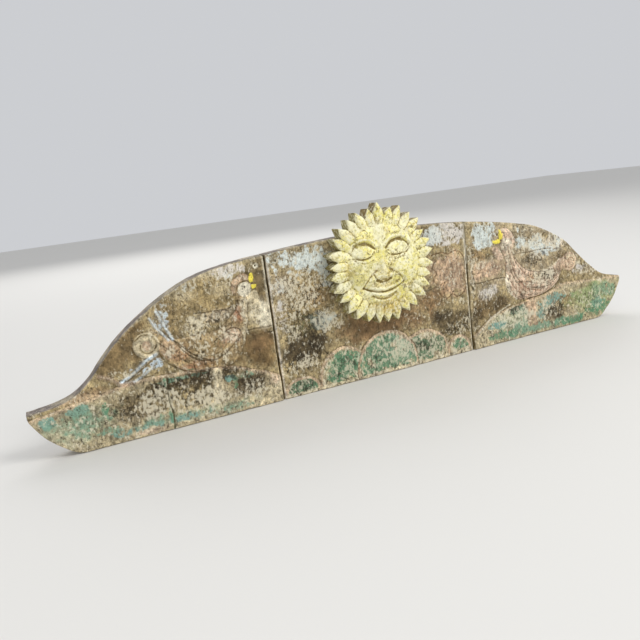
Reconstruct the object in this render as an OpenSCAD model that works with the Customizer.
// Three-section cast cement relief frieze: a sun face over hills, with a rooster in each wing.
// Frame: X along the frieze, Y into the wall (the relief faces -Y), Z up.
// Origin: centre of the base face, halfway through the thickness of the slabs.

/* [Sections] */
// Width of the centre section
centre_w = 974; // [820:2:1200]
// Length of each wing section, from its seam face to its tip
wing_l = 962; // [800:2:1160]
// Open gap between two neighbouring sections
seam_gap = 6; // [4:0.5:8]
// Thickness of the cast slabs
slab_t = 76; // [64:1:92]
// Height of all three sections at the seams
seam_h = 612; // [520:2:735]
// Rise of the centre section's arched top above the seams
crown_rise = 24; // [10:1:40]
// Height of the left wing's tip
left_tip_h = 184; // [160:1:210]
// Height of the right wing's tip
right_tip_h = 200; // [160:1:220]

/* [Relief] */
// How far the hills stand out from the sky
hill_t = 12; // [6:1:20]
// How far the front hill and the roosters stand out from the sky
figure_t = 9; // [5:1:16]
// Size of the roosters, where 1 is 470 mm from toes to comb on the left and 490 mm on the right
rooster_size = 1; // [0.85:0.05:1.05]

/* [Sun] */
// Radius of the sun, from its centre to the tips of the rays
sun_r = 262; // [220:2:300]
// How far the sun's centre sits to the right of the frieze's centre line
sun_cx = 12; // [-20:1:20]
// Height of the sun's centre above the base
sun_cz = 494; // [440:2:560]
// Thickness of the sun's rays
sun_t = 70; // [58:1:84]
// Number of rays
ray_count = 30; // [24:1:36]
// Radius of the notches between the rays
notch_r = 206; // [190:2:215]
// Radius of the domed face
face_r = 166; // [150:1:180]
// Rise of the dome in front of the rays
dome_rise = 16; // [10:1:24]
// How far the nose stands out from the dome
nose_rise = 18; // [10:1:24]
// Thickness of the mortar bed behind the sun
bed_t = 4; // [2:0.5:8]
// Radius of the mortar bed
bed_r = 180; // [150:2:200]

/* [Sun fixings] */
// Diameter of the studs that hold the sun
stud_d = 12; // [10:1:16]
// How deep the studs are cast into the sun
stud_cast = 50; // [40:1:55]
// Half the distance between the two columns of studs
stud_dx = 105; // [80:1:120]
// Half the distance between the two rows of studs
stud_dz = 85; // [70:1:95]
// Diameter of the plate washers
washer_d = 37; // [30:1:44]
// Thickness of the plate washers
washer_t = 3; // [2:0.5:4]
// Width of the nuts across their flats
nut_af = 19; // [17:1:24]
// Height of the nuts
nut_h = 10; // [8:1:12]
// Depth of the pockets in the back that take the nuts
pocket_depth = 22; // [20:1:26]

/* [Seams] */
// Diameter of the dowels across the seams
dowel_d = 16; // [12:1:20]
// Length of a dowel
dowel_l = 160; // [120:5:200]
// Outer diameter of the sleeves that take the dowels
sleeve_d = 22; // [21:1:28]
// Height of the lower dowels
dowel_low = 150; // [110:5:190]
// Height of the upper dowels
dowel_high = 450; // [400:5:480]
// Height at which the mortar left in the right seam starts
mortar_low = 416; // [380:2:430]
// Gap between that mortar and the dowels behind it
mortar_back_gap = 2; // [1:0.5:6]
// How far that mortar is set back from the slabs' front face
mortar_set_back = 2; // [1:0.5:6]
// How far that mortar stops below the seam's top
mortar_drop = 8; // [4:1:40]

/* [Reinforcement] */
// Diameter of the bars that run along a section
long_bar_d = 10; // [8:1:12]
// Diameter of the bars that run up a section and of the sun's hoop
cross_bar_d = 8; // [6:1:10]
// Least cement over a bar's end
cover = 34; // [30:1:45]
// Height of the lowest long bar
bar_low = 84; // [70:2:100]
// Height of the middle long bar
bar_mid = 300; // [280:2:320]
// Height of the highest long bar
bar_high = 516; // [500:2:520]

/* [Wall fixings] */
// Diameter of the fixing holes
fix_d = 8; // [6:0.5:12]
// Distance from the left wing's seam face to its fixing hole
wing_fix_in = 38; // [30:1:60]
// Distance from the centre section's seam faces to its fixing holes
centre_fix_in = 44; // [30:1:60]
// Drop from the seam height to the left wing's fixing hole
wing_fix_drop = 38; // [30:1:50]
// Drop from the seam height to the centre section's fixing holes
centre_fix_drop = 33; // [28:1:50]

/* [Clearances] */
// Gap between a piece of steel and the cement that was cast round it
cast_gap = 0.05; // [0.02:0.01:0.1]
// Radial clearance of a dowel in its sleeve
dowel_fit = 0.05; // [0.02:0.01:0.1]
// Radial clearance of a nut on its stud
thread_fit = 0.05; // [0.02:0.01:0.1]
// Radial clearance of a stud in the slab and in its washer
stud_clear = 1; // [0.5:0.1:1.5]
// Gap between bars that cross
bar_gap = 0.5; // [0.3:0.1:0.8]
// Gap between the seam mortar and the wing that it has let go of
mortar_gap = 0.3; // [0.2:0.1:0.5]

/* [Hidden] */
$fn = 48;
CURVE_STEPS = 6;     // points on each stretch of a spline
EPS = 1;             // how far a cutter runs past a face
FLOOR_OVERRUN = 40;  // how far a relief outline starts below the base before it is trimmed
THREAD_END = 3;      // how far a stud runs past its nut
NOSE_W = 34;
NOSE_LOW = -52;
NOSE_HIGH = 44;
EYE_X = 74;
EYE_Z = 56;
EYE_R = 42;
FEATURE_RISE = 9;     // rise of the eyes and cheeks
MOUTH_Z = 20;
MOUTH_R = 128;
MOUTH_ARC = 76;
LIP_R = 8;
CHEEK_X = 84;
CHEEK_Z = -30;
CHEEK_R = 54;

cement = "#a59a7c";
sun_paint = "#e6dc7a";
mortar_grey = "#c3bdae";
rust = "#6d4630";
zinc = "#8e9192";

front_y = -slab_t / 2;
back_y = slab_t / 2;
half_c = centre_w / 2;
wing_x = half_c + seam_gap;
crown_h = seam_h + crown_rise;
sun_back_y = front_y - bed_t;
sun_front_y = sun_back_y - sun_t;
stud_r = stud_d / 2;
stud_x = [sun_cx - stud_dx, sun_cx + stud_dx];
stud_z = [sun_cz - stud_dz, sun_cz + stud_dz];
long_r = long_bar_d / 2;
cross_r = cross_bar_d / 2;
long_y = 14;
cross_y = long_y + long_r + cross_r + bar_gap;
hoop_r = norm([stud_dx, stud_dz]) + stud_r + cross_r + bar_gap;
hoop_y = sun_back_y - sun_t / 2;
dowel_z = [dowel_low, dowel_high];
bar_z = [bar_low, bar_mid, bar_high];
dowel_in = dowel_l / 2;
sleeve_l = dowel_in - seam_gap;

// A wing's top edge: share of the wing's length out from the seam, share of the rise above the tip
LEFT_TOP = [[0, 1], [0.11, 0.98], [0.22, 0.945], [0.32, 0.89], [0.42, 0.79], [0.52, 0.66],
            [0.62, 0.5], [0.70, 0.33], [0.76, 0.18], [0.83, 0.07], [0.91, 0.02], [1, 0]];
RIGHT_TOP = [[0, 1], [0.11, 0.965], [0.22, 0.925], [0.32, 0.88], [0.42, 0.825], [0.52, 0.725],
             [0.62, 0.59], [0.71, 0.39], [0.80, 0.2], [0.865, 0.09], [0.93, 0.035], [1, 0]];
// A wing's heel: share of the wing's length, share of the tip's height
HEEL = [[0.806, 0], [0.85, 0.035], [0.9, 0.22], [0.95, 0.47], [0.99, 0.8], [1, 0.93]];
// Crest of the hills: share of the wing's length, height
LEFT_HILLS = [[0, 112], [0.07, 147], [0.125, 167], [0.175, 188], [0.26, 208], [0.4, 219], [0.54, 226],
              [0.65, 219], [0.71, 209], [0.78, 196], [0.89, 182], [1, 166]];
RIGHT_HILLS = [[0, 66], [0.07, 113], [0.14, 147], [0.21, 160], [0.28, 173], [0.36, 182], [0.45, 188],
               [0.52, 204], [0.57, 221], [0.62, 226], [0.7, 221], [0.8, 212], [0.9, 209], [1, 203]];
// Mounds of the centre section: [middle, half width, height, thickness as a share of hill_t]
MOUNDS = [[-400, 85, 80, 0.6], [-195, 128, 167, 0.8], [20, 160, 194, 1], [215, 140, 158, 0.8],
          [405, 75, 96, 0.6]];
// A rooster that faces the seam: distance out from its beak, height above its toes
LEFT_BIRD = [[20, 420], [23, 457], [46, 470], [73, 463], [93, 447], [100, 410], [88, 368], [104, 328],
             [142, 298], [190, 272], [280, 268], [366, 274], [404, 314], [440, 322], [452, 290],
             [420, 236], [400, 200], [373, 167], [340, 140], [300, 120], [253, 117], [186, 118],
             [146, 123], [120, 140], [96, 173], [78, 205], [66, 250], [53, 287], [52, 322], [38, 390]];
LEFT_BEAK = [[[32, 447], [13, 470], [8, 457], [32, 433]], [[34, 422], [0, 421], [1, 409], [36, 407]]];
LEFT_CURL = [463, 267];
LEFT_LEGS = [200, 233];
LEFT_BIRD_AT = [47, 80];
RIGHT_BIRD = [[53, 445], [60, 480], [80, 490], [105, 477], [133, 440], [130, 410], [117, 367],
              [137, 327], [163, 300], [190, 280], [230, 263], [283, 253], [337, 257], [377, 273],
              [403, 293], [440, 290], [425, 240], [403, 210], [390, 180], [350, 153], [283, 133],
              [190, 127], [137, 133], [103, 153], [83, 180], [67, 220], [63, 247], [70, 273],
              [73, 320], [67, 353], [50, 390], [45, 415]];
RIGHT_BEAK = [[[66, 457], [34, 480], [28, 475], [66, 445]], [[62, 437], [5, 437], [8, 424], [60, 424]]];
RIGHT_CURL = [473, 267];
RIGHT_LEGS = [186, 217];
RIGHT_BIRD_AT = [150, 60];
CURL_R = 50;
CURL_EYE_R = 22;
LEG_W = 14;
LEG_H = 125;

// Catmull-Rom spline through hand-set points
function knot(p, i) = p[max(0, min(len(p) - 1, i))];
function spline_at(a, b, c, d, t) =
    0.5 * (2 * b + (c - a) * t + (2 * a - 5 * b + 4 * c - d) * t * t
           + (3 * b - a - 3 * c + d) * t * t * t);
function spline(p) =
    concat([for (i = [0:len(p) - 2]) for (s = [0:CURVE_STEPS - 1])
                spline_at(knot(p, i - 1), knot(p, i), knot(p, i + 1), knot(p, i + 2), s / CURVE_STEPS)],
           [p[len(p) - 1]]);
function closed_spline(p) =
    let (n = len(p))
    [for (i = [0:n - 1]) for (s = [0:2])
        spline_at(p[(i + n - 1) % n], p[i], p[(i + 1) % n], p[(i + 2) % n], s / 3)];
function stretched(p, kx, kz, z0 = 0) = [for (q = p) [q[0] * kx, z0 + q[1] * kz]];
function reversed(p) = [for (i = [len(p) - 1:-1:0]) p[i]];
function flipped(p) = [for (q = reversed(p)) [q[1], q[0]]];

// Where a wing's top edge lies over a distance from the seam, and how far out it lies at a height
function top_at(top, tip_h, u) = tip_h + (seam_h - tip_h) * lookup(u / wing_l, top);
function reach_at(top, tip_h, z) = wing_l * lookup((z - tip_h) / (seam_h - tip_h), flipped(top));
function heel_reach(tip_h, z) = wing_l * lookup(z / tip_h, flipped(reversed(HEEL)));

// An outline drawn in X and Z, made solid between two depths
module slab(y0, y1) {
    translate([0, y1, 0]) rotate([90, 0, 0]) linear_extrude(y1 - y0) children();
}

module rod_x(x0, y, z, l, r) {
    translate([x0, y, z]) rotate([0, 90, 0]) cylinder(h = l, r = r);
}

module rod_y(x, y0, z, l, r, sides = $fn) {
    translate([x, y0, z]) rotate([-90, 0, 0]) cylinder(h = l, r = r, $fn = sides);
}

module rod_z(x, y, z0, l, r) {
    translate([x, y, z0]) cylinder(h = l, r = r);
}

// Children drawn outwards from a seam face, in the right wing or mirrored into the left one
module right_side() {
    translate([wing_x, 0, 0]) children();
}

module left_side() {
    mirror([1, 0, 0]) right_side() children();
}

// ---- Outlines ----

module wing_outline(top, tip_h) {
    rise = seam_h - tip_h;
    polygon(concat([[0, 0]],
                   stretched(spline(HEEL), wing_l, tip_h),
                   reversed(stretched(spline(top), wing_l, rise, tip_h))));
}

module centre_outline() {
    polygon(concat([[-half_c, 0], [half_c, 0]],
                   [for (i = [16:-1:-16]) let (s = i / 16) [half_c * s, crown_h - crown_rise * s * s]]));
}

module crest(hills) {
    polygon(concat(stretched(spline(hills), wing_l, 1), [[wing_l, -FLOOR_OVERRUN], [0, -FLOOR_OVERRUN]]));
}

module mound(m) {
    polygon([for (a = [0:10:180]) [m[0] + m[1] * cos(a), m[2] * pow(sin(a), 0.8)]]);
}

// A rooster is drawn as [outline, two halves of the beak, middle of the tail's curl, legs, place]
module bird_shape(bird) {
    k = rooster_size;
    translate(bird[4]) {
        polygon(closed_spline(bird[0]) * k);
        for (half = bird[1]) {
            polygon(half * k);
        }
        translate(bird[2] * k) difference() {
            circle(r = CURL_R * k);
            circle(r = CURL_EYE_R * k);
        }
        translate(bird[2] * k) circle(r = CURL_EYE_R * k / 2);
        for (x = bird[3]) {
            translate([x * k, 0]) square([LEG_W, LEG_H] * k);
        }
    }
}

// ---- Reinforcement ----

// Each row is [start, height, length]; each column is [place, foot, height]
function long_rows(top, tip_h) =
    [for (z = bar_z)
        [cover, z, (z > tip_h ? reach_at(top, tip_h, z) : heel_reach(tip_h, z)) - 2.4 * cover]];
function columns(top, tip_h) =
    [for (s = [0.14, 0.34, 0.52, 0.68])
        [s * wing_l, cover, top_at(top, tip_h, s * wing_l) - 2 * cover]];
function centre_rows() = [for (z = bar_z) [-half_c + cover, z, centre_w - 2 * cover]];
function centre_columns() =
    [for (s = [-0.78, -0.4, 0, 0.4, 0.78]) [s * half_c, cover, seam_h - 2 * cover]];

module long_bars(rows, grow = 0) {
    for (r = rows) {
        rod_x(r[0] - grow, long_y, r[1], r[2] + 2 * grow, long_r + grow);
    }
}

module cross_bars(cols, grow = 0) {
    for (c = cols) {
        rod_z(c[0], cross_y, c[1] - grow, c[2] + 2 * grow, cross_r + grow);
    }
}

module dowels(grow = 0) {
    for (z = dowel_z) {
        rod_x(-seam_gap - dowel_in - grow, 0, z, dowel_l - 0.5 + grow, dowel_d / 2 + grow);
    }
}

module sleeves() {
    for (z = dowel_z) difference() {
        rod_x(0, 0, z, sleeve_l, sleeve_d / 2);
        rod_x(-EPS, 0, z, sleeve_l + 2 * EPS, dowel_d / 2 + dowel_fit);
    }
}

// ---- The castings ----

module fixing_hole(x, z) {
    rod_y(x, front_y - EPS, z, slab_t + 2 * EPS, fix_d / 2);
}

module wing_section(top, tip_h, hills, bird) {
    color(cement) difference() {
        union() {
            slab(front_y, back_y) wing_outline(top, tip_h);
            slab(front_y - hill_t, front_y) intersection() {
                wing_outline(top, tip_h);
                crest(hills);
            }
            slab(front_y - figure_t, front_y) intersection() {
                wing_outline(top, tip_h);
                bird_shape(bird);
            }
        }
        long_bars(long_rows(top, tip_h), cast_gap);
        cross_bars(columns(top, tip_h), cast_gap);
        for (z = dowel_z) {
            rod_x(-EPS, 0, z, sleeve_l + EPS + cast_gap, sleeve_d / 2 + cast_gap);
        }
    }
}

module left_section() {
    left_side() difference() {
        wing_section(LEFT_TOP, left_tip_h, LEFT_HILLS,
                     [LEFT_BIRD, LEFT_BEAK, LEFT_CURL, LEFT_LEGS, LEFT_BIRD_AT]);
        color(cement) fixing_hole(wing_fix_in, seam_h - wing_fix_drop);
    }
}

module right_section() {
    right_side() wing_section(RIGHT_TOP, right_tip_h, RIGHT_HILLS,
                              [RIGHT_BIRD, RIGHT_BEAK, RIGHT_CURL, RIGHT_LEGS, RIGHT_BIRD_AT]);
}

module centre_section() {
    color(cement) difference() {
        union() {
            slab(front_y, back_y) centre_outline();
            for (m = MOUNDS) {
                slab(front_y - hill_t * m[3], front_y) intersection() {
                    centre_outline();
                    mound(m);
                }
            }
        }
        long_bars(centre_rows(), cast_gap);
        cross_bars(centre_columns(), cast_gap);
        right_side() dowels(cast_gap);
        left_side() dowels(cast_gap);
        for (x = stud_x) for (z = stud_z) {
            rod_y(x, front_y - EPS, z, slab_t + 2 * EPS, stud_r + stud_clear);
            rod_y(x, back_y - pocket_depth, z, pocket_depth + EPS, washer_d / 2 + stud_clear);
        }
        for (s = [-1, 1]) {
            fixing_hole(s * (half_c - centre_fix_in), seam_h - centre_fix_drop);
        }
    }
}

// ---- The sun ----

function ray_tip(i) = sun_r - (i % 3 == 0 ? 0 : 5 + 3 * sin(i * 97));
function ray_lean(i) = 5 * sin(i * 143);

module ray(i) {
    turn = 90 + 360 * i / ray_count;
    w = 0.84 * notch_r * tan(180 / ray_count);
    tip = ray_tip(i);
    lean = i == 0 ? 0 : ray_lean(i);
    rotate(turn) polygon([[notch_r - 30, -w], [notch_r + 12, -w], [notch_r + 30, lean - w * 0.7],
                          [tip, lean], [notch_r + 30, lean + w * 0.7], [notch_r + 12, w],
                          [notch_r - 30, w]]);
}

module at_sun(y) {
    translate([sun_cx, y, sun_cz]) children();
}

// A spherical cap that rises from a round base, facing -Y
module cap(base_r, rise) {
    big_r = (base_r * base_r + rise * rise) / (2 * rise);
    intersection() {
        translate([0, big_r - rise, 0]) sphere(r = big_r, $fn = 96);
        rotate([90, 0, 0]) cylinder(h = rise + EPS, r = base_r);
    }
}

// The nose's profile is [how far out, height], drawn from its bridge down to its tip
module nose() {
    tip = dome_rise + nose_rise;
    root = dome_rise / 2;
    rotate([0, 0, -90]) rotate([90, 0, 0]) translate([0, 0, -NOSE_W / 2]) linear_extrude(NOSE_W)
        polygon([[root, NOSE_LOW - 6], [tip - 6, NOSE_LOW], [tip, NOSE_LOW + 10], [tip - 8, NOSE_LOW + 34],
                 [dome_rise, NOSE_HIGH], [root, NOSE_HIGH]]);
}

module lips() {
    rotate([90, 0, 0]) rotate([0, 0, 270 - MOUTH_ARC / 2])
        rotate_extrude(angle = MOUTH_ARC, $fn = 96) translate([MOUTH_R, 0]) circle(r = LIP_R);
}

module sun_medallion() {
    color(sun_paint) difference() {
        union() {
            at_sun(0) slab(sun_front_y, sun_back_y) {
                circle(r = notch_r + 4, $fn = 120);
                for (i = [0:ray_count - 1]) {
                    ray(i);
                }
            }
            at_sun(sun_front_y) {
                cap(face_r, dome_rise);
                nose();
                for (s = [-1, 1]) {
                    translate([s * EYE_X, -dome_rise * 0.6, EYE_Z]) cap(EYE_R, FEATURE_RISE);
                    translate([s * CHEEK_X, -dome_rise * 0.6, CHEEK_Z]) cap(CHEEK_R, FEATURE_RISE);
                }
                translate([0, -dome_rise * 0.5, MOUTH_Z]) lips();
            }
        }
        at_sun(hoop_y) hoop(cast_gap);
        for (x = stud_x) for (z = stud_z) {
            rod_y(x, sun_back_y - stud_cast - cast_gap, z, stud_cast + cast_gap + EPS, stud_r + cast_gap);
        }
    }
}

module hoop(grow = 0) {
    rotate([90, 0, 0]) rotate_extrude($fn = 96) translate([hoop_r, 0]) circle(r = cross_r + grow);
}

module sun_hoop() {
    color(rust) at_sun(hoop_y) hoop();
}

module sun_mortar_bed() {
    color(mortar_grey) difference() {
        slab(sun_back_y, front_y) intersection() {
            translate([sun_cx, sun_cz]) circle(r = bed_r, $fn = 96);
            centre_outline();
            translate([sun_cx - bed_r, sun_cz - bed_r]) square([2 * bed_r, seam_h - sun_cz + bed_r]);
        }
        for (x = stud_x) for (z = stud_z) {
            rod_y(x, sun_back_y - EPS, z, bed_t + 2 * EPS, stud_r + stud_clear);
        }
    }
}

module sun_studs() {
    length = stud_cast + bed_t + slab_t - pocket_depth + washer_t + nut_h + THREAD_END;
    color(rust) for (x = stud_x) for (z = stud_z) {
        rod_y(x, sun_back_y - stud_cast, z, length, stud_r);
    }
}

module sun_washers() {
    color(zinc) for (x = stud_x) for (z = stud_z) difference() {
        rod_y(x, back_y - pocket_depth, z, washer_t, washer_d / 2);
        rod_y(x, back_y - pocket_depth - EPS, z, washer_t + 2 * EPS, stud_r + stud_clear / 2);
    }
}

module sun_nuts() {
    seat = back_y - pocket_depth + washer_t;
    color(zinc) for (x = stud_x) for (z = stud_z) difference() {
        rod_y(x, seat, z, nut_h, nut_af / 2 / cos(30), 6);
        rod_y(x, seat - EPS, z, nut_h + 2 * EPS, stud_r + thread_fit);
    }
}

// ---- Bars, dowels, sleeves and seam mortar ----

module left_long_bars() {
    color(rust) left_side() long_bars(long_rows(LEFT_TOP, left_tip_h));
}

module left_cross_bars() {
    color(rust) left_side() cross_bars(columns(LEFT_TOP, left_tip_h));
}

module centre_long_bars() {
    color(rust) long_bars(centre_rows());
}

module centre_cross_bars() {
    color(rust) cross_bars(centre_columns());
}

module right_long_bars() {
    color(rust) right_side() long_bars(long_rows(RIGHT_TOP, right_tip_h));
}

module right_cross_bars() {
    color(rust) right_side() cross_bars(columns(RIGHT_TOP, right_tip_h));
}

module left_seam_dowels() {
    color(zinc) left_side() dowels();
}

module right_seam_dowels() {
    color(zinc) right_side() dowels();
}

module left_seam_sleeves() {
    color(zinc) left_side() sleeves();
}

module right_seam_sleeves() {
    color(zinc) right_side() sleeves();
}

module right_seam_mortar() {
    depth = slab_t / 2 - mortar_set_back - dowel_d / 2 - mortar_back_gap;
    color(mortar_grey) translate([half_c, front_y + mortar_set_back, mortar_low])
        cube([seam_gap - mortar_gap, depth, seam_h - mortar_low - mortar_drop]);
}

left_section();
centre_section();
right_section();
sun_medallion();
sun_mortar_bed();
sun_hoop();
sun_studs();
sun_washers();
sun_nuts();
left_long_bars();
left_cross_bars();
centre_long_bars();
centre_cross_bars();
right_long_bars();
right_cross_bars();
left_seam_dowels();
left_seam_sleeves();
right_seam_dowels();
right_seam_sleeves();
right_seam_mortar();
